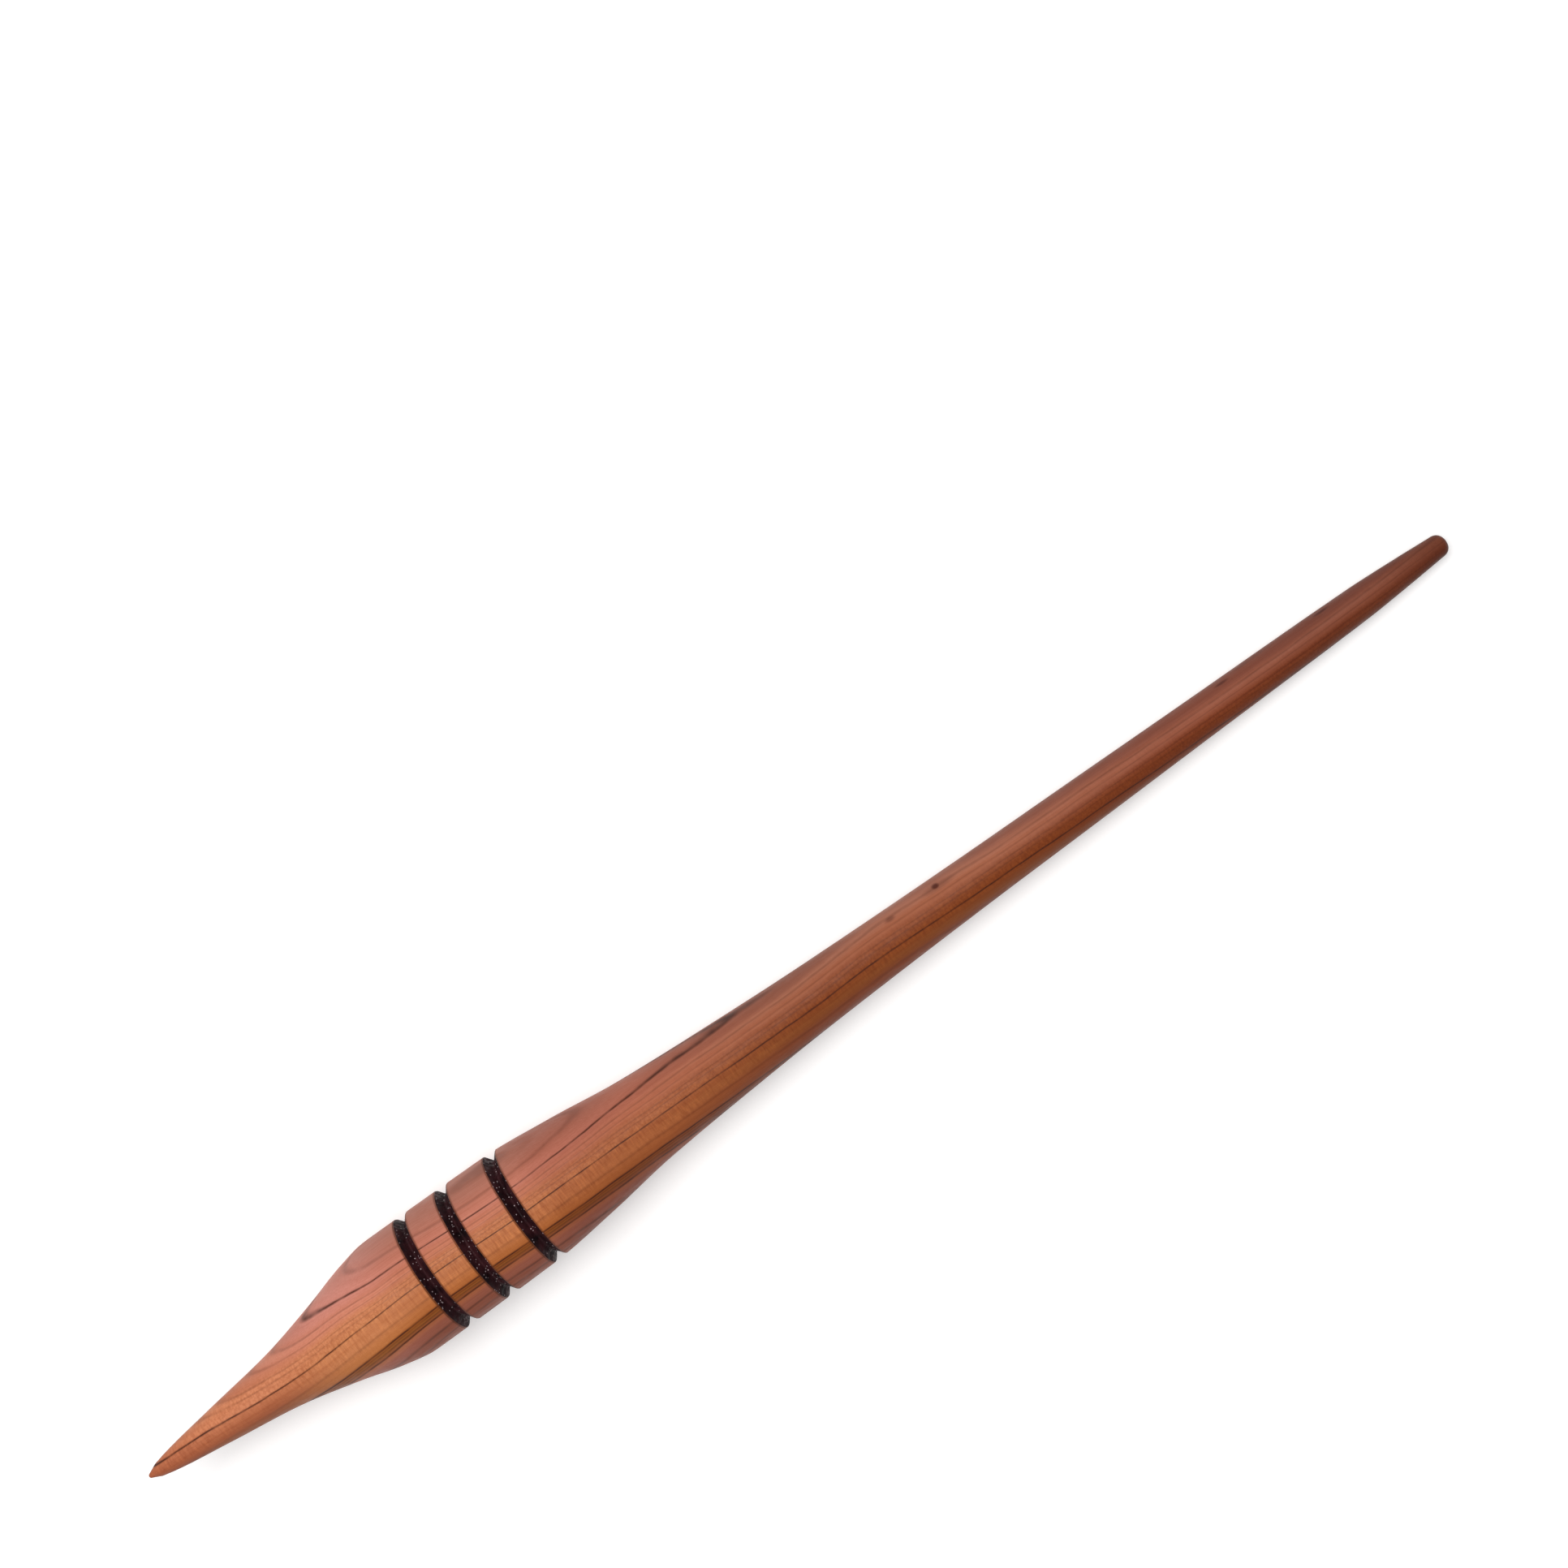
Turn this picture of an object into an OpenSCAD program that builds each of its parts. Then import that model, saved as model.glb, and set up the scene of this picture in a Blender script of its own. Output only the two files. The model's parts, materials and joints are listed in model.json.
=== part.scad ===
// Support spindle for spinning fine yarn, turned from one stick of fruitwood.
// A slim pointed nose swells into a full belly with three burnt V-grooves, and a long tapering shaft
// runs to a small rounded end. In use it stands upright and spins on its point in a shallow bowl.
// Here it lies as it does on a table, on its belly and its thin end, with the point to the left.

/* [Nose] */
// Diameter of the ball that rounds the point, which turns in the bowl
point_d = 1; // [0.6:0.1:1.6]
// Angle between the axis and the surface where the ball ends
point_angle = 35; // [25:1:45]
// Length of the blunt flank behind the point
flank_len = 3; // [2:0.5:5]
// Diameter where the blunt flank ends
flank_d = 3.1; // [2.5:0.1:4.2]
// Length of the spike
spike_len = 13; // [9:1:20]
// Diameter where the spike ends
spike_d = 7.3; // [6:0.1:9]
// Length of the nose, which starts to widen
nose_len = 14; // [10:1:20]
// Diameter where the nose ends
nose_d = 11.3; // [10:0.1:13]
// Length of the hollow sweep out of the nose
sweep_len = 12; // [8:1:16]
// Diameter where the hollow sweep ends
sweep_d = 17; // [14.5:0.1:19]
// Length of the straight swell
swell_len = 9; // [6:1:13]
// Diameter where the swell ends
swell_d = 22.1; // [20:0.1:23]
// Length of the crown, where the swell rounds into the belly
crown_len = 6; // [4:0.5:9]

/* [Belly] */
// Diameter at the fullest place, where the belly starts
belly_d = 24.1; // [23:0.1:27]
// Length of the nearly straight belly
belly_len = 26; // [22:1:34]
// Diameter where the belly ends
belly_end_d = 23.7; // [22:0.1:24]

/* [Burnt grooves] */
// Distance from the start of the belly to the middle of the first groove
groove_start = 8.1; // [4:0.1:10]
// Distance from the first groove to the second
first_step = 9.2; // [6:0.1:12]
// Distance from the second groove to the third
second_step = 10.9; // [6:0.1:12]
// Depth of a groove below the belly
groove_depth = 1.5; // [1:0.1:2]
// Angle of a groove's flanks, from the axis of the spindle
flank_angle = 52; // [45:1:60]
// Radius of the rounded floor, which the hot wire leaves
floor_r = 0.35; // [0.2:0.05:0.6]
// Radius of the rounded lips
lip_r = 0.5; // [0.3:0.1:0.9]
// Thickness of the charred skin in a groove
char_t = 0.25; // [0.15:0.05:0.5]
// Width of the charred skin, along the spindle
char_w = 2.6; // [1.8:0.1:2.8]

/* [Shaft] */
// Length of the shoulder, where the belly rounds off
shoulder_len = 15; // [10:1:20]
// Diameter where the shoulder ends
shoulder_d = 21; // [19:0.1:23]
// Length of the steep fall below the shoulder
fall_len = 14; // [9:1:20]
// Diameter at the foot of the fall
fall_d = 17.4; // [15.5:0.1:18.8]
// Length of the neck, where the fall flattens out
neck_len = 19; // [12:1:28]
// Diameter where the neck ends
neck_d = 14.7; // [13.2:0.1:16]
// Length of the thick root of the shaft
root_len = 22; // [14:1:32]
// Diameter where the root ends
root_d = 12.4; // [11.2:0.1:13.8]
// Length of the shaft's long hollow taper
hollow_len = 37; // [26:1:50]
// Diameter where the hollow taper ends
hollow_d = 10.2; // [9.6:0.1:11.8]
// Length of the straight stretch past the hollow
straight_len = 25; // [16:1:36]
// Diameter where the straight stretch ends
straight_d = 9.3; // [8.7:0.1:10]
// Length of the step down to the grip
step_len = 23; // [15:1:32]
// Diameter where the step ends
step_d = 8.4; // [7.4:0.1:9.1]
// Length of the grip, which the fingers flick
grip_len = 41; // [28:1:55]
// Diameter where the grip ends
grip_d = 6.9; // [6:0.1:7.8]
// Length of the short taper past the grip
taper_len = 11; // [7:1:16]
// Diameter where the short taper ends
taper_d = 5.7; // [5:0.1:6.6]
// Length from there to the very end
end_len = 10; // [6:0.5:15]
// Diameter of the blunt rounded end
end_d = 4.6; // [3.4:0.1:4.9]
// How square the rounded end is: 2 is a half ball, and more is blunter
end_square = 2.5; // [2:0.1:4]

/* [Hidden] */

// Longest stretch of the outline that is drawn as one straight line
outline_step = 2;
// Lines that draw each rounded end, each groove's lip and each groove's floor
end_lines = 8;
lip_lines = 6;
floor_lines = 14;
// Any number above 12 gives a true round
round_fn = 96;

// Each stretch of the spindle, as its length and the diameter at its far end
stretches = [
    [flank_len, flank_d],
    [spike_len, spike_d],
    [nose_len, nose_d],
    [sweep_len, sweep_d],
    [swell_len, swell_d],
    [crown_len, belly_d],
    [belly_len, belly_end_d],
    [shoulder_len, shoulder_d],
    [fall_len, fall_d],
    [neck_len, neck_d],
    [root_len, root_d],
    [hollow_len, hollow_d],
    [straight_len, straight_d],
    [step_len, step_d],
    [grip_len, grip_d],
    [taper_len, taper_d],
    [end_len, end_d]
];
// The crown is the stretch that ends where the belly starts
crown_index = 5;

// Distance from the point to the end of stretch i
function reach(i) = i < 0 ? 0 : stretches[i][0] + reach(i - 1);
spindle_len = reach(len(stretches) - 1);

point_r = point_d / 2;
end_r = end_d / 2;

// Stations of the smooth outline, each as [distance from the point, radius].
// The first lies on the ball of the point, and the last where the thin end starts to round.
stations = concat(
    [[point_r * (1 - sin(point_angle)), point_r * cos(point_angle)]],
    [for (i = [0 : len(stretches) - 2]) [reach(i), stretches[i][1] / 2]],
    [[spindle_len - end_r, end_r]]
);
last = len(stations) - 1;

// Slope of the straight line from station i to the next
function chord(i) = (stations[i + 1][1] - stations[i][1]) / (stations[i + 1][0] - stations[i][0]);

// Slope of the smooth outline at station i: the harmonic mean of the chords on both sides,
// and level where the outline turns from rising to falling
function slope(i) =
    i == 0 ? tan(point_angle) :
    i == last ? chord(last - 1) :
    chord(i - 1) * chord(i) <= 0 ? 0 :
    2 * chord(i - 1) * chord(i) / (chord(i - 1) + chord(i));

slopes = [for (i = [0 : last]) slope(i)];

// Cubic curve from radius a to radius b over a length, with the slopes m and n at its ends
function blend(a, b, m, n, length, u) =
    a + u * u * (3 - 2 * u) * (b - a) + length * u * (1 - u) * (m * (1 - u) - n * u);

// Radius of the spindle without its grooves, at a distance x from the point
function span_at(x, i = 0) = i >= last - 1 || x <= stations[i + 1][0] ? i : span_at(x, i + 1);
function radius_at(x) =
    let (
        i = span_at(x),
        a = stations[i],
        b = stations[i + 1]
    )
    blend(a[1], b[1], slopes[i], slopes[i + 1], b[0] - a[0], (x - a[0]) / (b[0] - a[0]));

// Middle of each groove, from the point
groove_x = [
    reach(crown_index) + groove_start,
    reach(crown_index) + groove_start + first_step,
    reach(crown_index) + groove_start + first_step + second_step
];

// A groove is a rounded floor, straight flanks and rounded lips, each tangent to the next.
// floor_u and lip_u are how far the floor and the flank reach from the groove's middle.
floor_u = floor_r * sin(flank_angle);
floor_rise = floor_r * (1 - cos(flank_angle));
lip_drop = lip_r * (1 - cos(flank_angle));
lip_u = floor_u + (groove_depth - floor_rise - lip_drop) / tan(flank_angle);
groove_half = lip_u + lip_r * sin(flank_angle);
char_half = char_w / 2;

// Depth of the groove's surface below the belly, at a distance u from its middle
function groove_drop(u) =
    let (v = abs(u))
    v >= groove_half ? 0 :
    v >= lip_u ? lip_r - sqrt(lip_r * lip_r - pow(groove_half - v, 2)) :
    v >= floor_u ? lip_drop + (lip_u - v) * tan(flank_angle) :
    groove_depth - floor_r + sqrt(floor_r * floor_r - v * v);

// Outline from one distance to another, in even steps, as [radius, distance] for the lathe
function plain_run(from, to) =
    let (n = ceil((to - from) / outline_step))
    [for (i = [0 : n]) let (x = from + (to - from) * i / n) [radius_at(x), x]];

// Outline of a groove's surface between two distances from its middle, sunk by an extra depth
function groove_run(middle, from, to, lines, sunk) =
    [for (i = [0 : lines])
        let (u = from + (to - from) * i / lines)
        [radius_at(middle + u) - groove_drop(u) - sunk, middle + u]];

// Outline of the wood at one groove, with the seat of its charred skin cut into it
function groove_outline(middle) = concat(
    groove_run(middle, -groove_half, -char_half, lip_lines, 0),
    groove_run(middle, -char_half, char_half, floor_lines, char_t),
    groove_run(middle, char_half, groove_half, lip_lines, 0)
);

// Outline of one charred skin, between its seat and its open face
function char_outline(middle) =
    let (
        face = groove_run(middle, -char_half, char_half, floor_lines, 0),
        seat = groove_run(middle, -char_half, char_half, floor_lines, char_t)
    )
    concat(face, [for (i = [len(seat) - 1 : -1 : 0]) seat[i]]);

// Round nose of the point, from its pole to the first station
function point_outline() =
    [for (i = [0 : end_lines])
        let (a = (90 - point_angle) * i / end_lines)
        [point_r * sin(a), point_r * (1 - cos(a))]];

// Blunt thin end, from the last station to its pole: a quarter of a superellipse
function end_outline() =
    [for (i = [0 : end_lines])
        let (a = 90 * i / end_lines, power = 2 / end_square)
        [
            i == end_lines ? 0 : end_r * pow(cos(a), power),
            spindle_len - end_r + end_r * pow(sin(a), power)
        ]];

// The plain runs before, between and after the grooves share their end points with the grooves
wood_outline = concat(
    point_outline(),
    [for (p = plain_run(stations[0][0], groove_x[0] - groove_half)) if (p[1] > stations[0][0]) p],
    [for (g = [0 : len(groove_x) - 1])
        let (
            start = groove_x[g] + groove_half,
            stop = g < len(groove_x) - 1 ? groove_x[g + 1] - groove_half : stations[last][0],
            run = plain_run(start, stop),
            ring = groove_outline(groove_x[g])
        )
        each concat([for (i = [1 : len(ring) - 1]) ring[i]], [for (i = [1 : len(run) - 1]) run[i]])],
    [for (p = end_outline()) if (p[1] > stations[last][0]) p]
);

// The spindle rests on its belly and its thin end. The line under both is as steep as the flattest
// line from the one place of the first half that needs the most.
half_len = spindle_len / 2;
front = [for (p = wood_outline) if (p[1] < half_len) p];
back = [for (p = wood_outline) if (p[1] >= half_len) p];
rest_tilt = max([for (f = front) min([for (b = back) atan2(f[0] - b[0], b[1] - f[1])])]);

// Lowest point below the tilted axis, and the middle of the reach along the table
rest_height = max([for (p = wood_outline) p[1] * sin(rest_tilt) + p[0] * cos(rest_tilt)]);
low_x = min([for (p = wood_outline) p[1] * cos(rest_tilt) - p[0] * sin(rest_tilt)]);
high_x = max([for (p = wood_outline) p[1] * cos(rest_tilt) + p[0] * sin(rest_tilt)]);

// Turns an outline on the lathe and lays the result on the table
module turned(outline) {
    translate([-(low_x + high_x) / 2, 0, rest_height])
        rotate([0, 90 + rest_tilt, 0])
            rotate_extrude($fn = round_fn)
                polygon(outline);
}

// The turned stick, with a seat in each groove for the charred skin
module wooden_body() {
    color("#b8734f")
        turned(wood_outline);
}

// Charred skin that the hot wire leaves in groove g
module burnt_groove(g) {
    color("#2b1814")
        turned(char_outline(groove_x[g]));
}

module burnt_groove_lower() {
    burnt_groove(0);
}

module burnt_groove_middle() {
    burnt_groove(1);
}

module burnt_groove_upper() {
    burnt_groove(2);
}

wooden_body();
burnt_groove_lower();
burnt_groove_middle();
burnt_groove_upper();
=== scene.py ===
import json

import bpy
import numpy as np
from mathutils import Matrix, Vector


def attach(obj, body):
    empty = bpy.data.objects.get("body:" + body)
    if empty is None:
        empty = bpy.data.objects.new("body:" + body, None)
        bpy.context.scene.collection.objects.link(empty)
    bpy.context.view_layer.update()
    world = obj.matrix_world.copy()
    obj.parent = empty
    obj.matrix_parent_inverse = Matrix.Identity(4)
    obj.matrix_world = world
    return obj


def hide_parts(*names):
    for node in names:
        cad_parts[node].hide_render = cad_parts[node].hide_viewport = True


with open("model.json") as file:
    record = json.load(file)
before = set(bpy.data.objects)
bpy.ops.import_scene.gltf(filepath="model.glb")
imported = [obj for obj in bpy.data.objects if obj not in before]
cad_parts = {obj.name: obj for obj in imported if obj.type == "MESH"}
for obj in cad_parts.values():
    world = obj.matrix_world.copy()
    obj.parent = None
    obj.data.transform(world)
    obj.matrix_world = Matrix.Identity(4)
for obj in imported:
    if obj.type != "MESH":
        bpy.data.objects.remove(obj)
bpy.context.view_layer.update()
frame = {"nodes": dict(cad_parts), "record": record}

# Lengths are in metres, and names that end in mm are in millimetres.
MM = 0.001

# The stick's own frame, from its two mounts: the point, the thin end, and the directions up and to the side
mounts = {m["name"]: np.array(m["pos_m"]) for m in frame["record"]["mounts"]}
POINT = mounts["support_point"]
AXIS = mounts["flick_end"] - POINT
LENGTH = np.linalg.norm(AXIS)
AXIS = AXIS / LENGTH
SIDE = np.array([0.0, 1.0, 0.0])
UP = np.cross(AXIS, SIDE)

GROOVES = ["burnt_groove_lower", "burnt_groove_middle", "burnt_groove_upper"]

# Segments round the stick and round each charred skin, which has fine crumbs
WOOD_SIDES = 140
CHAR_SIDES = 4 * WOOD_SIDES
# How many times as many rings each has as the construction
WOOD_FINER = 2
CHAR_FINER = 3
# Rings nearer to each other than this, along the stick, are one ring
SAME_RING = 0.002 * MM


def stick_frame(points):
    """Distance from the point along the axis, and radius about it, of each row of points."""
    rel = points - POINT
    along = rel @ AXIS
    return along, np.linalg.norm(rel - np.outer(along, AXIS), axis=1)


def node_rings(name):
    """Turned rings of a node of the construction, by distance: distance, largest and least radius there."""
    mesh = frame["nodes"][name].data
    co = np.zeros(len(mesh.vertices) * 3, np.float32)
    mesh.vertices.foreach_get("co", co)
    along, radius = stick_frame(co.reshape(-1, 3).astype(float))
    order = np.argsort(along)
    along, radius = along[order], radius[order]
    first = np.flatnonzero(np.concatenate([[True], np.diff(along) > SAME_RING]))
    return np.stack([along[first], np.maximum.reduceat(radius, first), np.minimum.reduceat(radius, first)], 1)


def char_faces(name):
    """Open face and seat of a charred skin, each as rows of distance and radius."""
    rings = node_rings(name)
    return rings[:, [0, 1]], rings[:, [0, 2]]


def finer(line, times):
    """Points of a smooth curve through the rows of line, times as many, on a Catmull-Rom cubic between
    each two."""
    ends = np.concatenate([2 * line[:1] - line[1:2], line, 2 * line[-1:] - line[-2:-1]])
    a, b, c, d = ends[:-3, None], ends[1:-2, None], ends[2:-1, None], ends[3:, None]
    u = (np.arange(times) / times)[None, :, None]
    square = a - 2.5 * b + 2 * c - d / 2
    cube = (d - a) / 2 + 1.5 * (b - c)
    curve = b + u * (c - a) / 2 + u**2 * square + u**3 * cube
    return np.concatenate([curve.reshape(-1, line.shape[1]), line[-1:]])


def lumps(turn, across, cells_round, cells_across, seed):
    """Smooth random heights from 0 to 1: a lattice of random numbers, closed round the stick, blended
    with the curve 3u^2 - 2u^3 between its nodes. turn and across run from 0 to 1."""
    lattice = np.random.default_rng(seed).random((cells_across + 2, cells_round))
    p = (turn % 1) * cells_round
    q = np.clip(across, 0, 1) * cells_across
    i, j = q.astype(int), p.astype(int)
    u, v = q - i, p - j
    u, v = u * u * (3 - 2 * u), v * v * (3 - 2 * v)
    j, k = j % cells_round, (j + 1) % cells_round
    low = lattice[i, j] * (1 - v) + lattice[i, k] * v
    high = lattice[i + 1, j] * (1 - v) + lattice[i + 1, k] * v
    return low * (1 - u) + high * u


def turned(name, along, radius, turn, ring_closed):
    """Mesh of a grid on the stick: row i, column j lies at the distance along[i, j] and the radius
    radius[i, j], turned by turn[j] of a full turn from the top to the side. An open grid is closed by
    a pole at each end, on the axis, and a closed one joins its last row to its first."""
    rows, sides = along.shape
    angle = 2 * np.pi * turn
    out = np.cos(angle)[:, None] * UP + np.sin(angle)[:, None] * SIDE
    points = POINT + along[..., None] * AXIS + radius[..., None] * out
    points = points.reshape(-1, 3)
    i = np.arange(rows if ring_closed else rows - 1)[:, None]
    j = np.arange(sides)[None, :]
    k = (j + 1) % sides
    n = (i + 1) % rows
    quads = np.stack([i * sides + j, n * sides + j, n * sides + k, i * sides + k], -1).reshape(-1, 4)
    faces = quads.tolist()
    if not ring_closed:
        poles = [POINT, POINT + LENGTH * AXIS]
        tip, end = len(points), len(points) + 1
        points = np.concatenate([points, poles])
        last = (rows - 1) * sides
        first_fan = np.stack([np.full(sides, tip), j[0], k[0]], 1)
        last_fan = np.stack([last + j[0], np.full(sides, end), last + k[0]], 1)
        faces += first_fan.tolist() + last_fan.tolist()
    mesh = bpy.data.meshes.new(name)
    mesh.from_pydata(points.tolist(), [], faces)
    mesh.polygons.foreach_set("use_smooth", np.ones(len(mesh.polygons), bool))
    mesh.update()
    piece = bpy.data.objects.new(name, mesh)
    bpy.context.scene.collection.objects.link(piece)
    return piece


# How far the burnt edges wander from a true circle, and how much their distance from each other varies,
# each with its number of lumps round the stick and its first seed
EDGE_WANDER = 0.05 * MM
WANDER_LUMPS = 23
WANDER_SEED = 10
EDGE_SPREAD = 0.05
SPREAD_LUMPS = 31
SPREAD_SEED = 20
# The wandering fades out over this distance from a groove's middle
WANDER_REACH = 2.6 * MM


def wander(along, turn, middles):
    """Distances with each groove shifted along the stick and widened, both by smooth lumps round it."""
    moved = along.copy()
    for index, middle in enumerate(middles):
        u = along - middle
        fade = np.clip(1 - (u / WANDER_REACH) ** 2, 0, 1) ** 2
        shift = lumps(turn, 0 * turn, WANDER_LUMPS, 1, WANDER_SEED + index) - 0.5
        spread = lumps(turn, 0 * turn, SPREAD_LUMPS, 1, SPREAD_SEED + index) - 0.5
        moved += fade * (2 * EDGE_WANDER * shift + 2 * EDGE_SPREAD * u * spread)
    return moved


faces_and_seats = [char_faces(name) for name in GROOVES]
middles = [(face[0, 0] + face[-1, 0]) / 2 for face, seat in faces_and_seats]

# The growth rings of the timber. Each is a sheet that runs along the stick and stands nearly upright:
# it crosses the belly's level at the sideways distance that names it, drifts sideways along the stick,
# and leans. GRAIN_DRIFT_MM has the drift at a few distances from the point, GRAIN_SWELL how much wider
# apart the rings stand there, and GRAIN_LEAN the lean of a few rings.
GRAIN_DRIFT_MM = np.array([
    [-20, -0.4], [2, -0.65], [15, -0.65], [27, -1.45], [39, -1.25], [49, -0.2], [60, 0.45], [84, 0.0],
    [105, -0.65], [127, -1.4], [150, -2.05], [166, -1.9], [180, -2.5], [195, -3.2], [217, -3.85],
    [232, -4.35], [247, -4.8], [300, -5.4], [320, -5.6],
])
GRAIN_SWELL = np.array([
    [-20, 1.04], [20, 1.04], [38, 1.05], [50, 1.09], [60, 1.05], [75, 1.0], [90, 1.0], [110, 1.0],
    [140, 0.99], [200, 1.0], [320, 1.0],
])
GRAIN_LEAN = np.array([[-15, -0.05], [-9.6, 0.0], [1.85, 0.145], [9.4, 0.42], [15, 0.52]])
LEAN_ROUNDS = 12


def through(points, x):
    """Smooth curve through points of x and value: a Hermite cubic with central slopes."""
    at, value = points[:, 0], points[:, 1]
    slope = np.gradient(value, at)
    i = np.clip(np.searchsorted(at, x, side="right") - 1, 0, len(at) - 2)
    span = at[i + 1] - at[i]
    u = (x - at[i]) / span
    rise = value[i + 1] - value[i]
    ends = slope[i] * (1 - u) - slope[i + 1] * u
    return value[i] + u * u * (3 - 2 * u) * rise + span * u * (1 - u) * ends


def ring_of(along_mm, side_mm, up_mm):
    """Name of the growth ring through each point: side = ring * swell + drift - up * lean(ring), solved
    by putting the last answer into the lean a few times."""
    level = side_mm - through(GRAIN_DRIFT_MM, along_mm)
    swell = through(GRAIN_SWELL, along_mm)
    ring = level
    for _ in range(LEAN_ROUNDS):
        lean = np.interp(ring, GRAIN_LEAN[:, 0], GRAIN_LEAN[:, 1])
        ring = 0.5 * ring + 0.5 * (level + up_mm * lean) / swell
    return ring


def give(piece, name, kind, values):
    """Stores one value or vector per vertex as an attribute."""
    attribute = piece.data.attributes.new(name, kind, "POINT")
    attribute.data.foreach_set("value" if kind == "FLOAT" else "vector", values.astype(np.float32).ravel())


# Radius in mm below which a point counts as lying on the axis
ON_AXIS_MM = 1e-3


def give_grain(piece):
    """Attribute grain: where each vertex lies in the timber, in mm along the stick, ring and height.
    Attribute burnt: distance in mm to the nearest groove's middle. Attribute quarter: 1 where the
    surface looks across the rays, on the top and bottom, and 0 where it lies flat on a ring."""
    co = np.zeros(len(piece.data.vertices) * 3, np.float32)
    piece.data.vertices.foreach_get("co", co)
    rel = (co.reshape(-1, 3).astype(float) - POINT) / MM
    along, side, up = rel @ AXIS, rel @ SIDE, rel @ UP
    ring = ring_of(along, side, up)
    give(piece, "grain", "FLOAT_VECTOR", np.stack([along, ring, up], 1))
    gap = np.min([np.abs(along - middle / MM) for middle in middles], axis=0)
    give(piece, "burnt", "FLOAT", gap)
    give(piece, "quarter", "FLOAT", np.abs(up) / np.maximum(np.hypot(side, up), ON_AXIS_MM))


def build_wood():
    """The turned stick: the construction's rings, made finer along the smooth outline, with each seat
    kept as deep as it is there."""
    rings = node_rings("wooden_body")
    seats = [(face[0, 0], face[-1, 0]) for face, seat in faces_and_seats]
    at = rings[:, 0]
    in_seat = np.any([(at > a - SAME_RING) & (at < b + SAME_RING) for a, b in seats], axis=0)
    plain = rings[~in_seat & (rings[:, 1] > SAME_RING), :2]
    cuts = [0] + [int(np.searchsorted(plain[:, 0], a)) for a, b in seats] + [len(plain)]
    parts = []
    for part in range(len(cuts) - 1):
        run = plain[cuts[part]:cuts[part + 1]]
        if part > 0:
            run = np.concatenate([faces_and_seats[part - 1][0][-1:], run])
        if part < len(seats):
            run = np.concatenate([run, faces_and_seats[part][0][:1]])
        parts.append(finer(run, WOOD_FINER))
        if part < len(seats):
            parts.append(faces_and_seats[part][1])
    line = np.concatenate(parts)
    turn = np.arange(WOOD_SIDES) / WOOD_SIDES
    along = np.repeat(line[:, :1], WOOD_SIDES, axis=1)
    radius = np.repeat(line[:, 1:], WOOD_SIDES, axis=1)
    along = wander(along, np.broadcast_to(turn, along.shape), middles)
    return turned("turned_stick", along, radius, turn, ring_closed=False)


# Depth of the crumbs on the burnt face, which go down from the construction's face, and how many
# coarse and fine ones there are round the stick and across the groove
CRUMB_DEPTH = 0.16 * MM
COARSE_CRUMBS = (97, 5)
FINE_CRUMBS = (263, 11)


def build_char(name, face, seat, seed):
    """One charred skin: its open face with crumbs sunk into it, less so at its edges, and its smooth
    back on the seat. The depth is half coarse lumps and half the square of fine ones."""
    face = finer(face, CHAR_FINER)
    seat = finer(seat, CHAR_FINER)
    turn = np.arange(CHAR_SIDES) / CHAR_SIDES
    rows = len(face)
    across = np.linspace(0, 1, rows)[:, None] * np.ones(CHAR_SIDES)
    turns = np.broadcast_to(turn, across.shape)
    coarse = lumps(turns, across, *COARSE_CRUMBS, seed)
    fine = lumps(turns, across, *FINE_CRUMBS, seed + 1)
    crumbs = 0.5 * coarse + 0.5 * fine**2
    inner = 1 - np.abs(2 * across - 1) ** 6
    radius = np.concatenate([face[:, 1:] - CRUMB_DEPTH * crumbs * inner, seat[::-1, 1:] + 0 * turns])
    along = np.concatenate([face[:, :1] + 0 * turns, seat[::-1, :1] + 0 * turns])
    along = wander(along, np.broadcast_to(turn, along.shape), middles)
    return turned(name, along, radius, turn, ring_closed=True)


def colour(code):
    """Linear RGBA of an sRGB hex colour: c/12.92 below 0.04045, else ((c + 0.055)/1.055)^2.4."""
    c = np.array([int(code[i:i + 2], 16) for i in (1, 3, 5)]) / 255
    c = np.where(c <= 0.04045, c / 12.92, ((c + 0.055) / 1.055) ** 2.4)
    return (*c.tolist(), 1.0)


def add(tree, kind, inputs=None, out=0, **settings):
    """Adds a shader node, applies its settings, fills its inputs with values or with the outputs of other
    nodes, and gives back the output of that number or name."""
    node = tree.nodes.new("ShaderNode" + kind)
    for key, value in settings.items():
        setattr(node, key, value)
    for key, value in (inputs or {}).items():
        if isinstance(value, bpy.types.NodeSocket):
            tree.links.new(value, node.inputs[key])
        else:
            node.inputs[key].default_value = value
    return node.outputs[out] if node.outputs else None


# Map Range's inputs are by number: 0 the value, 1 and 2 its ends, 3 and 4 the ends that it goes to.
# Mix's are 0 the share, 6 and 7 the colours.
SMOOTH = {"interpolation_type": "SMOOTHSTEP"}


def new_material(name):
    """Empty material with an output."""
    material = bpy.data.materials.new(name)
    material.use_nodes = True
    material.node_tree.nodes.clear()
    return material, material.node_tree


# Dark lines where the growth rings end: ring, width in mm and strength
RING_LINES = [
    (16.0, 0.36, 0.35), (13.2, 0.36, 0.35), (11.4, 0.30, 0.30), (9.4, 0.28, 0.95), (7.6, 0.30, 0.35),
    (6.4, 0.28, 0.28), (4.8, 0.30, 0.30), (3.8, 0.30, 0.28), (1.85, 0.30, 1.00), (-1.6, 0.50, 0.25),
    (-4.2, 0.34, 1.00), (-4.7, 0.30, 0.45), (-5.25, 0.34, 0.50), (-5.95, 0.34, 0.90), (-8.9, 0.45, 0.60),
    (-10.5, 0.34, 0.45), (-12.0, 0.36, 0.35), (-14.0, 0.36, 0.35),
]
RING_SPAN_MM = 16.0
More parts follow.
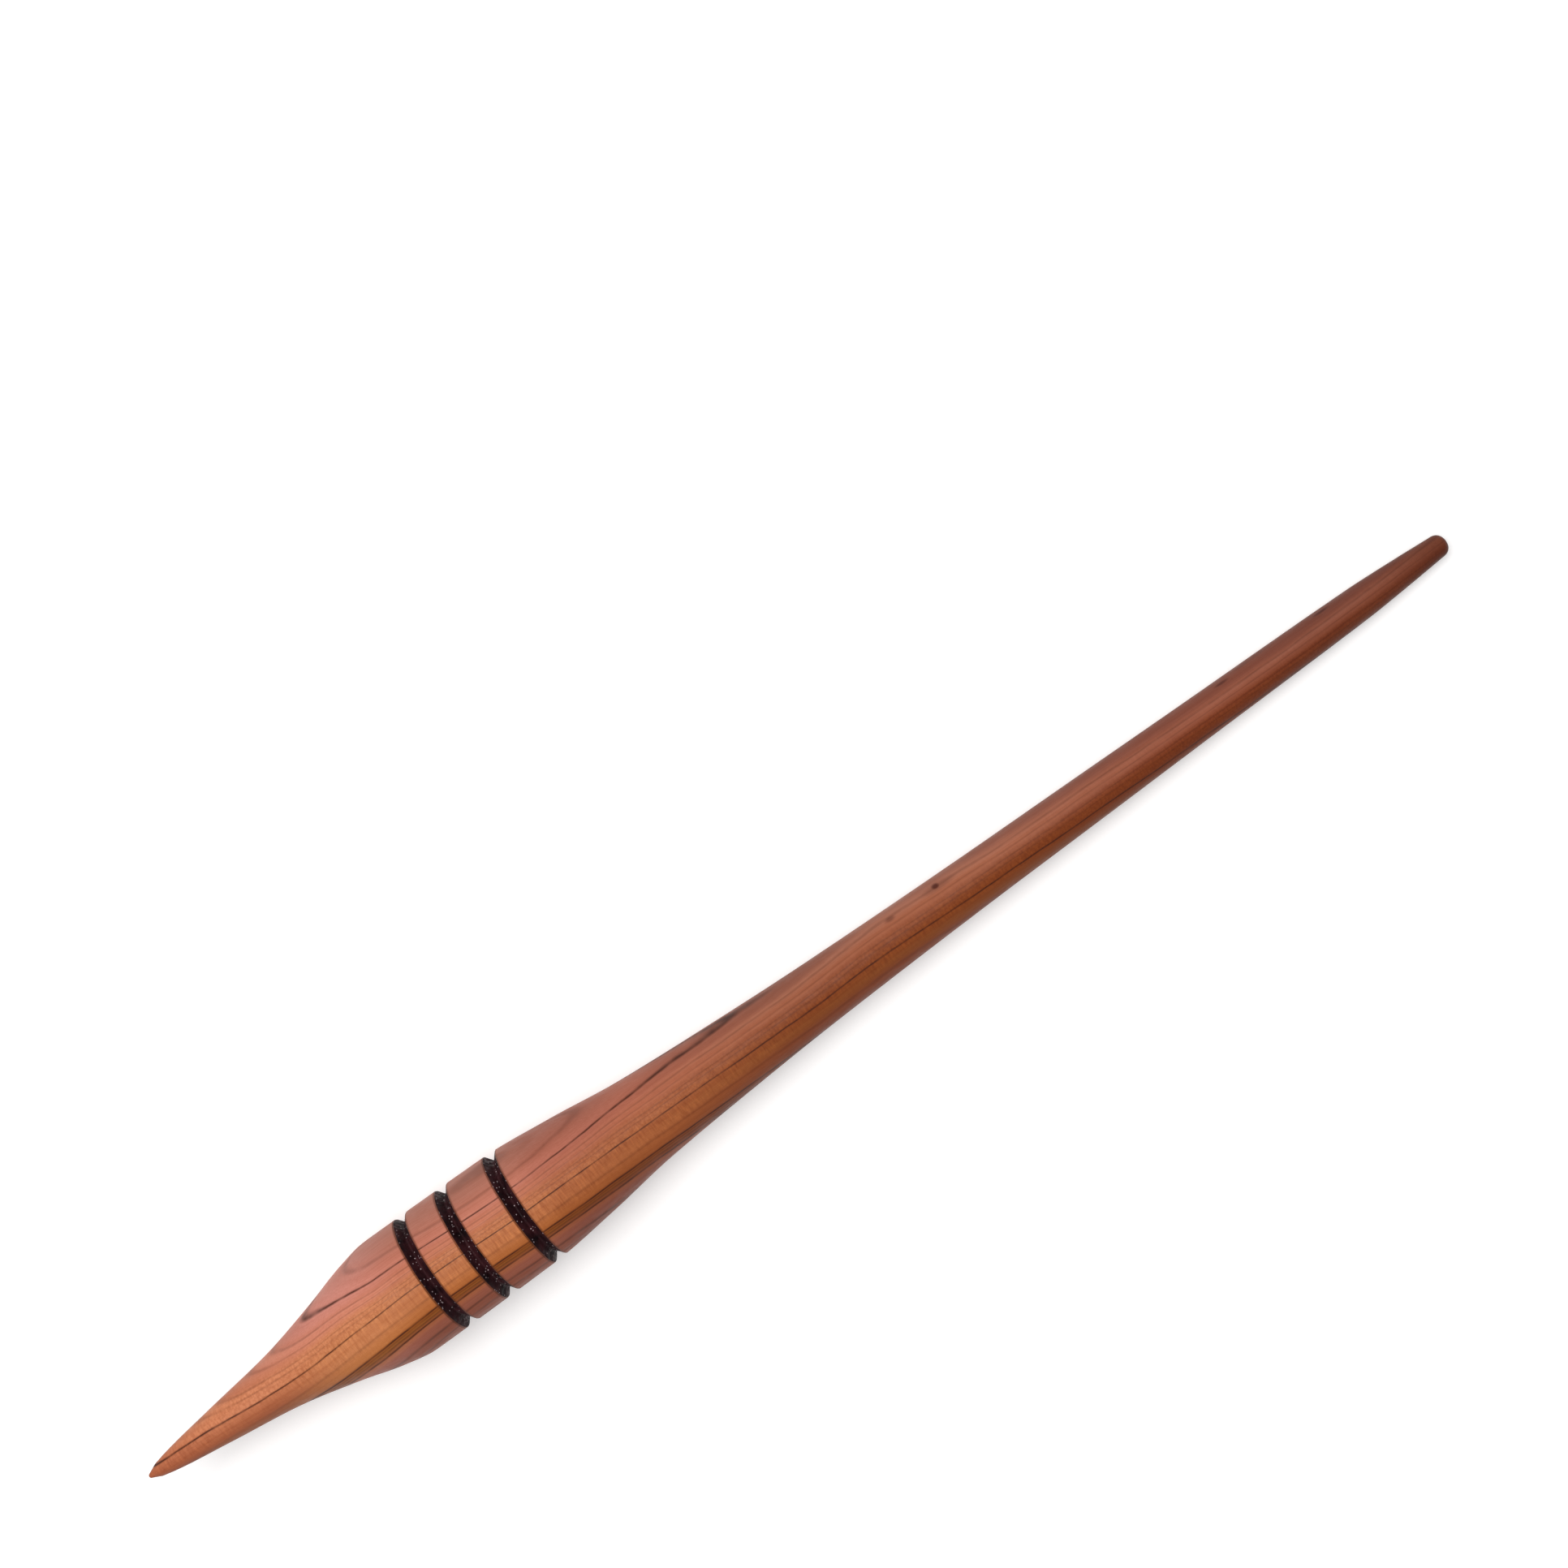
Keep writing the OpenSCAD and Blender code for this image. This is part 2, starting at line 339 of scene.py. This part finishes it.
# Colour of the timber across the rings of the nose, of the belly and of the shaft. The nose and belly colours
# are partly painted shade: they darken towards both sides of the stick, most of all towards -16 mm, the side
# away from the lamp.
NOSE_COLOURS = [
    (-16, "#864a36"), (-6, "#94563a"), (-2.4, "#995937"), (-1, "#a25a3a"), (0.8, "#b16846"), (2.7, "#c57b57"),
    (4.3, "#c97f5b"), (5.4, "#bd7456"), (7, "#c57e66"), (9, "#b87464"), (16, "#a86e62"),
]
BELLY_COLOURS = [
    (-16, "#8f4f40"), (-9.6, "#95513b"), (-7.6, "#a26150"), (-6.3, "#aa6547"), (-5.9, "#955633"),
    (-5, "#945624"), (-4.3, "#9c5824"), (-3.6, "#b9713f"), (-0.6, "#c27b50"), (1.5, "#c17a50"),
    (4.7, "#c47b55"), (7, "#ca8068"), (9.5, "#cb8475"), (13.5, "#b3796d"), (16, "#a86e62"),
]
SHAFT_COLOURS = [
    (-16, "#854a34"), (-6, "#874a30"), (-2, "#894a2c"), (-0.2, "#8d522a"), (2, "#88481f"), (3.5, "#8a4a22"),
    (4.7, "#91502d"), (6.4, "#ab6d52"), (7.6, "#b47c67"), (8.6, "#9a6656"), (16, "#8f6050"),
]
# Tone of the whole stick along its length, in mm, as a colour that multiplies the timber's. Its darkening
# from 180 mm to the thin end is painted shade.
TONE_AND_SHADE = [
    (0, "#f2e8e7"), (18, "#ffffff"), (50, "#ffffff"), (64, "#ede3d6"), (86, "#ede3d6"), (94, "#dccbbd"),
    (104, "#dccbbd"), (114, "#e3d1c1"), (180, "#ecdcd2"), (240, "#d2b6aa"), (278, "#bda39a"),
    (300, "#9c7f70"),
]
# Distances over which one palette passes into the next
NOSE_TO_BELLY_MM = (26, 46)
BELLY_TO_SHAFT_MM = (88, 155)
# Pin knots and dark flecks: distance from the point, sideways place, length, width and strength
KNOTS_MM = [
    (171.5, 3.8, 1.5, 0.8, 0.50), (182.0, 3.8, 1.3, 1.0, 0.95), (182.3, 3.6, 5.0, 1.2, 0.35),
    (248.5, 3.2, 2.2, 0.5, 0.75), (272.0, 3.1, 2.6, 0.5, 0.90),
]


def knot_places():
    """Each knot in the timber: its grain vector, length, width and strength. It lies on the outline."""
    rings = node_rings("wooden_body") / MM
    places = []
    for at, side, length, width, strength in KNOTS_MM:
        up = np.sqrt(np.interp(at, rings[:, 0], rings[:, 1]) ** 2 - side ** 2)
        ring = ring_of(np.array([at]), np.array([side]), np.array([up]))[0]
        places.append(((at, ring, up), length, width, strength))
    return places


def colour_along(tree, value, low, high, stops):
    """Colour along a value from low to high, eased between stops of value and hex colour."""
    at = add(tree, "MapRange", {0: value, 1: low, 2: high})
    shade = add(tree, "ValToRGB", {0: at})
    ramp = shade.node.color_ramp
    ramp.interpolation = "EASE"
    while len(ramp.elements) < len(stops):
        ramp.elements.new(0.5)
    for element, (value_here, code) in zip(ramp.elements, stops):
        element.position = (value_here - low) / (high - low)
    for element, (value_here, code) in zip(ramp.elements, stops):
        element.color = colour(code)
    return shade


def grain_noise(tree, grain, size_mm, detail, rough=0.5):
    """Noise whose lumps have this length, width and height in mm: along, across and up the rings."""
    cells = [1 / mm for mm in size_mm]
    where = add(tree, "VectorMath", {0: grain, 1: cells}, operation="MULTIPLY")
    return add(tree, "TexNoise", {"Vector": where, "Scale": 1.0, "Detail": detail, "Roughness": rough})


def beside_ring(tree, ring, at, inner, outer, middle, rest):
    """Value near one ring: middle within inner mm of it, falling smoothly to rest at outer mm."""
    off = add(tree, "Math", {0: ring, 1: at}, operation="SUBTRACT")
    off = add(tree, "Math", {0: off}, operation="ABSOLUTE")
    return add(tree, "MapRange", {0: off, 1: inner, 2: outer, 3: middle, 4: rest}, **SMOOTH)


def toned(tree, base, pattern, low, high, dark, light, amount=1.0):
    """Base times a tone that runs from a dark to a light RGB as the pattern goes from low to high."""
    parts = {}
    for channel, (least, most) in enumerate(zip(dark, light)):
        parts[channel] = add(tree, "MapRange", {0: pattern, 1: low, 2: high, 3: least, 4: most}, **SMOOTH)
    tone = add(tree, "CombineColor", parts)
    return add(tree, "Mix", {0: amount, 6: base, 7: tone}, out=2, data_type="RGBA", blend_type="MULTIPLY")


def timber_colour_and_shade(tree, along, ring):
    """Colour of the timber with painted shade: palettes across the rings for nose, belly and shaft, darker
    towards the side away from the lamp, and the tone along, darker towards the thin end.
    """
    nose = colour_along(tree, ring, -RING_SPAN_MM, RING_SPAN_MM, NOSE_COLOURS)
    belly = colour_along(tree, ring, -RING_SPAN_MM, RING_SPAN_MM, BELLY_COLOURS)
    shaft = colour_along(tree, ring, -RING_SPAN_MM, RING_SPAN_MM, SHAFT_COLOURS)
    to_belly = add(tree, "MapRange", {0: along, 1: NOSE_TO_BELLY_MM[0], 2: NOSE_TO_BELLY_MM[1]}, **SMOOTH)
    to_shaft = add(tree, "MapRange", {0: along, 1: BELLY_TO_SHAFT_MM[0], 2: BELLY_TO_SHAFT_MM[1]}, **SMOOTH)
    base = add(tree, "Mix", {0: to_belly, 6: nose, 7: belly}, out=2, data_type="RGBA")
    base = add(tree, "Mix", {0: to_shaft, 6: base, 7: shaft}, out=2, data_type="RGBA")
    # Painted shade along the stick: darker towards the thin end
    tone = colour_along(tree, along, 0, LENGTH / MM, TONE_AND_SHADE)
    return add(tree, "Mix", {0: 1.0, 6: base, 7: tone}, out=2, data_type="RGBA", blend_type="MULTIPLY")


def ring_lines(tree, grain, ring):
    """How dark the ring lines are, each broken up a little along its length."""
    lines = 0.0
    for at, width, strength in RING_LINES:
        line = beside_ring(tree, ring, at, 0.0, width, strength, 0.0)
        lines = add(tree, "Math", {0: lines, 1: line}, operation="MAXIMUM")
    breaks = grain_noise(tree, grain, (4, 2.5, 5), 2.0)
    breaks = add(tree, "MapRange", {0: breaks, 1: 0.25, 2: 0.6, 3: 0.55, 4: 1.0}, **SMOOTH)
    return add(tree, "Math", {0: lines, 1: breaks}, operation="MULTIPLY")


def ray_flecks(tree, base, rays, grain, ring, quarter):
    """Rays are thin upright sheets across the rings. They show as short light and dark streaks where the
    surface cuts along them, most of all below the middle line, and as a fine ripple above it. Real rays
    are about 0.1 mm apart: these are five times as coarse, so that they show."""
    silk = beside_ring(tree, ring, 0.1, 1.4, 3.8, 1.0, 0.25)
    patch = grain_noise(tree, grain, (20, 3, 5), 1.0)
    patch = add(tree, "MapRange", {0: patch, 1: 0.30, 2: 0.60, 3: 0.35, 4: 1.0}, **SMOOTH)
    on_top = add(tree, "MapRange", {0: quarter, 1: 0.80, 2: 0.99}, **SMOOTH)
    room = add(tree, "Math", {0: on_top, 1: patch}, operation="MULTIPLY")
    room = add(tree, "Math", {0: room, 1: silk}, operation="MULTIPLY")
    tint = {"out": 2, "data_type": "RGBA", "blend_type": "MULTIPLY"}
    light = add(tree, "MapRange", {0: rays, 1: 0.52, 2: 0.64}, **SMOOTH)
    light = add(tree, "Math", {0: light, 1: room}, operation="MULTIPLY")
    base = add(tree, "Mix", {0: light, 6: base, 7: (1.16, 1.18, 1.14, 1)}, **tint)
    dark = add(tree, "MapRange", {0: rays, 1: 0.36, 2: 0.48, 3: 1.0, 4: 0.0}, **SMOOTH)
    dark = add(tree, "Math", {0: dark, 1: room}, operation="MULTIPLY")
    base = add(tree, "Mix", {0: dark, 6: base, 7: (0.86, 0.79, 0.73, 1)}, **tint)
    ripple = grain_noise(tree, grain, (0.45, 0.8, 2), 2.0, 0.6)
    room = beside_ring(tree, ring, 3.4, 0.9, 3.0, 1.0, 0.15)
    room = add(tree, "Math", {0: room, 1: quarter}, operation="MULTIPLY")
    return toned(tree, base, ripple, 0.35, 0.65, (0.90, 0.86, 0.82), (1.10, 1.14, 1.14), room)


def pin_knots(tree, grain):
    """How dark the pin knots are: each is an egg that fades from a quarter of its size outwards."""
    eyes = 0.0
    for middle, length, width, strength in knot_places():
        off = add(tree, "VectorMath", {0: grain, 1: middle}, operation="SUBTRACT")
        sizes = (1 / length, 1 / width, 1 / width)
        off = add(tree, "VectorMath", {0: off, 1: sizes}, operation="MULTIPLY")
        off = add(tree, "VectorMath", {0: off}, out="Value", operation="LENGTH")
        eye = add(tree, "MapRange", {0: off, 1: 0.25, 2: 1.0, 3: strength, 4: 0.0}, **SMOOTH)
        eyes = add(tree, "Math", {0: eyes, 1: eye}, operation="MAXIMUM")
    return eyes


def oiled_fruitwood():
    """Plum or cherry wood, fine-turned, sanded and oiled: thin dark ring lines, silky bands between
    them, short ray flecks across the grain on the top, and a satin sheen that isn't even."""
    material, tree = new_material("oiled_fruitwood")
    grain = add(tree, "Attribute", out="Vector", attribute_name="grain")
    burnt = add(tree, "Attribute", out="Fac", attribute_name="burnt")
    quarter = add(tree, "Attribute", out="Fac", attribute_name="quarter")
    along = add(tree, "SeparateXYZ", {0: grain}, out="X")
    ring = add(tree, "SeparateXYZ", {0: grain}, out="Y")

    # The rings waver by about 0.1 mm over a centimetre
    waver = grain_noise(tree, grain, (10, 4, 10), 3.0)
    waver = add(tree, "Math", {0: waver, 1: 0.5}, operation="SUBTRACT")
    waver = add(tree, "Math", {0: waver, 1: 0.55}, operation="MULTIPLY")
    ring = add(tree, "Math", {0: ring, 1: waver}, operation="ADD")
    base = timber_colour_and_shade(tree, along, ring)

    # Silky bands between the ring lines, about a millimetre wide, and fibres a sixth as wide
    bands = grain_noise(tree, grain, (80, 0.9, 20), 3.0, 0.6)
    fibres = grain_noise(tree, grain, (8, 0.14, 0.14), 3.0, 0.6)
    base = toned(tree, base, bands, 0.3, 0.7, (0.93, 0.88, 0.84), (1.05, 1.07, 1.08))
    base = toned(tree, base, fibres, 0.3, 0.7, (0.94, 0.91, 0.88), (1.05, 1.07, 1.08))

    lines = ring_lines(tree, grain, ring)
    base = add(tree, "Mix", {0: lines, 6: base, 7: colour("#3c1606")}, out=2, data_type="RGBA")
    rays = grain_noise(tree, grain, (0.53, 4.5, 1.0), 2.0, 0.6)
    base = ray_flecks(tree, base, rays, grain, ring, quarter)
    knots = pin_knots(tree, grain)
    base = add(tree, "Mix", {0: knots, 6: base, 7: colour("#4a1c10")}, out=2, data_type="RGBA")

    # The heat of the wire browned the lip of each groove, from 1.25 to 1.85 mm off its middle
    scorch = add(tree, "MapRange", {0: burnt, 1: 1.25, 2: 1.85, 3: 0.85, 4: 0.0}, **SMOOTH)
    base = add(tree, "Mix", {0: scorch, 6: base, 7: colour("#5c2c12")}, out=2, data_type="RGBA")

    # The pores and rays stand 0.02 mm proud, and the oil lies unevenly on them
    heights = add(tree, "Math", {0: fibres, 1: 0.5}, operation="MULTIPLY")
    ray_heights = add(tree, "Math", {0: rays, 1: 0.3}, operation="MULTIPLY")
    heights = add(tree, "Math", {0: heights, 1: ray_heights}, operation="ADD")
    bump = add(tree, "Bump", {"Height": heights, "Distance": 0.02 * MM, "Strength": 0.6})
    oil = grain_noise(tree, grain, (3, 0.7, 0.7), 3.0)
    oil = add(tree, "MapRange", {0: oil, 1: 0.3, 2: 0.7, 3: 0.42, 4: 0.56}, **SMOOTH)
    looks = {"Base Color": base, "Roughness": oil, "Normal": bump, "IOR": 1.5, "Specular IOR Level": 0.15}
    add(tree, "OutputMaterial", {"Surface": add(tree, "BsdfPrincipled", looks)})
    return material


def charred_wood():
    """Wood burnt by a hot wire: brown-black, crumbly and mostly dull, with painted glints: light spots in its
    colour where glassy crumbs would catch the light.
    """
    material, tree = new_material("charred_wood")
    where = add(tree, "TexCoord", out="Object")
    # Crumbs about a millimetre across with finer ones on them, in patches of 3 mm
    crumbs = add(tree, "TexNoise", {"Vector": where, "Scale": 1 / (1.1 * MM), "Detail": 4.0})
    patches = add(tree, "TexNoise", {"Vector": where, "Scale": 1 / (3 * MM), "Detail": 2.0})
    shade = add(tree, "ValToRGB", {0: patches})
    stops = shade.node.color_ramp.elements
    stops[0].position = 0.35
    stops[0].color = colour("#13070a")
    stops[1].position = 0.65
    stops[1].color = colour("#35171b")
    # Painted glints, light spots of reflection painted into the colour: the centres of a fifth of the cells,
    # which are 0.45 mm apart
    cells = {"Vector": where, "Scale": 1 / (0.45 * MM)}
    core = add(tree, "TexVoronoi", cells, out="Distance")
    core = add(tree, "MapRange", {0: core, 1: 0.18, 2: 0.34, 3: 1.0, 4: 0.0})
    chosen = add(tree, "SeparateColor", {0: add(tree, "TexVoronoi", cells, out="Color")})
    chosen = add(tree, "Math", {0: chosen, 1: 0.80}, operation="GREATER_THAN")
    painted_glint = add(tree, "Math", {0: core, 1: chosen}, operation="MULTIPLY")
    base = add(tree, "Mix", {0: painted_glint, 6: shade, 7: colour("#b5a3a6")}, out=2, data_type="RGBA")
    bump = add(tree, "Bump", {"Height": crumbs, "Distance": 0.12 * MM, "Strength": 0.9})
    rough = add(tree, "MapRange", {0: crumbs, 1: 0.35, 2: 0.65, 3: 0.4, 4: 0.8})
    looks = {"Base Color": base, "Roughness": rough, "Normal": bump, "IOR": 1.5, "Specular IOR Level": 0.08}
    add(tree, "OutputMaterial", {"Surface": add(tree, "BsdfPrincipled", looks)})
    return material


# Pieces
stick = build_wood()
give_grain(stick)
stick.data.materials.append(oiled_fruitwood())
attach(stick, "root")
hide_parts("wooden_body")

char_material = charred_wood()
for index, name in enumerate(GROOVES):
    skin = build_char(name.replace("burnt_groove", "char"), *faces_and_seats[index], seed=40 + 2 * index)
    skin.data.materials.append(char_material)
    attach(skin, "root")
    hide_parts(name)

# Stage: a white table under soft light, with its half width in metres and the glow that lifts it to white
TABLE_HALF = 0.36
FLOOR_LIFT = 0.32


def seen_or_mirrored(tree):
    """1 for the rays of the camera, of gloss and of glass, and 0 for the light that falls on the object."""
    seen = 0.0
    for ray in ("Is Camera Ray", "Is Glossy Ray", "Is Transmission Ray"):
        seen = add(tree, "Math", {0: seen, 1: add(tree, "LightPath", out=ray)}, operation="MAXIMUM")
    return seen


def white_floor():
    """Plain white table top. The camera, gloss and glass see it lifted to white, with the shadow kept."""
    material, tree = new_material("white_floor")
    plain = add(tree, "BsdfDiffuse", {"Color": colour("#e8e8e8")})
    lift = add(tree, "Emission", {"Color": (1, 1, 1, 1), "Strength": FLOOR_LIFT})
    lifted = add(tree, "AddShader", {0: plain, 1: lift})
    mix = add(tree, "MixShader", {0: seen_or_mirrored(tree), 1: plain, 2: lifted})
    add(tree, "OutputMaterial", {"Surface": mix})
    return material


corners = [(x * TABLE_HALF, y * TABLE_HALF, 0) for x, y in ((-1, -1), (1, -1), (1, 1), (-1, 1))]
floor_mesh = bpy.data.meshes.new("floor")
floor_mesh.from_pydata(corners, [], [(0, 1, 2, 3)])
floor = bpy.data.objects.new("floor", floor_mesh)
floor_mesh.materials.append(white_floor())
bpy.context.scene.collection.objects.link(floor)

scene = bpy.context.scene
scene.view_settings.view_transform = "Standard"

# World: an even white room, which gives about a fifth of the light
world = bpy.data.worlds.new("room")
world.use_nodes = True
room = world.node_tree
room.nodes.clear()
room_light = add(room, "Background", {"Color": (0.93, 0.96, 1.0, 1), "Strength": 0.25})
room_seen = add(room, "Background", {"Color": (1, 1, 1, 1), "Strength": 1.0})
sky = add(room, "MixShader", {0: seen_or_mirrored(room), 1: room_light, 2: room_seen})
add(room, "OutputWorld", {"Surface": sky})
scene.world = world


def soft_box(name, place, target, size, power, tint):
    """Square area lamp that faces a target."""
    lamp = bpy.data.lights.new(name, "AREA")
    lamp.shape = "SQUARE"
    lamp.size = size
    lamp.energy = power
    lamp.color = tint
    obj = bpy.data.objects.new(name, lamp)
    obj.location = place
    obj.rotation_euler = (Vector(target) - Vector(place)).to_track_quat("-Z", "Y").to_euler()
    scene.collection.objects.link(obj)


soft_box("window_light", (-0.12, 0.22, 0.97), (0, 0, 0.01), 0.7, 9.5, (1.0, 0.97, 0.95))

# Camera straight above, from the photograph: its place, its focal length in the photograph's pixels, and
# its roll in degrees
CAMERA_PLACE = (0.0203, 0.0358, 0.421)
PICTURE_SIDE = 1932
FOCAL_PIXELS = 2700
SENSOR_MM = 36
NEAR_CLIP = 0.01
CAMERA_ROLL_DEG = -35.63
camera_data = bpy.data.cameras.new("camera")
camera_data.sensor_width = SENSOR_MM
camera_data.lens = SENSOR_MM * FOCAL_PIXELS / PICTURE_SIDE
camera_data.clip_start = NEAR_CLIP
camera = bpy.data.objects.new("camera", camera_data)
camera.location = CAMERA_PLACE
camera.rotation_euler = (0, 0, np.radians(CAMERA_ROLL_DEG))
scene.collection.objects.link(camera)
scene.camera = camera
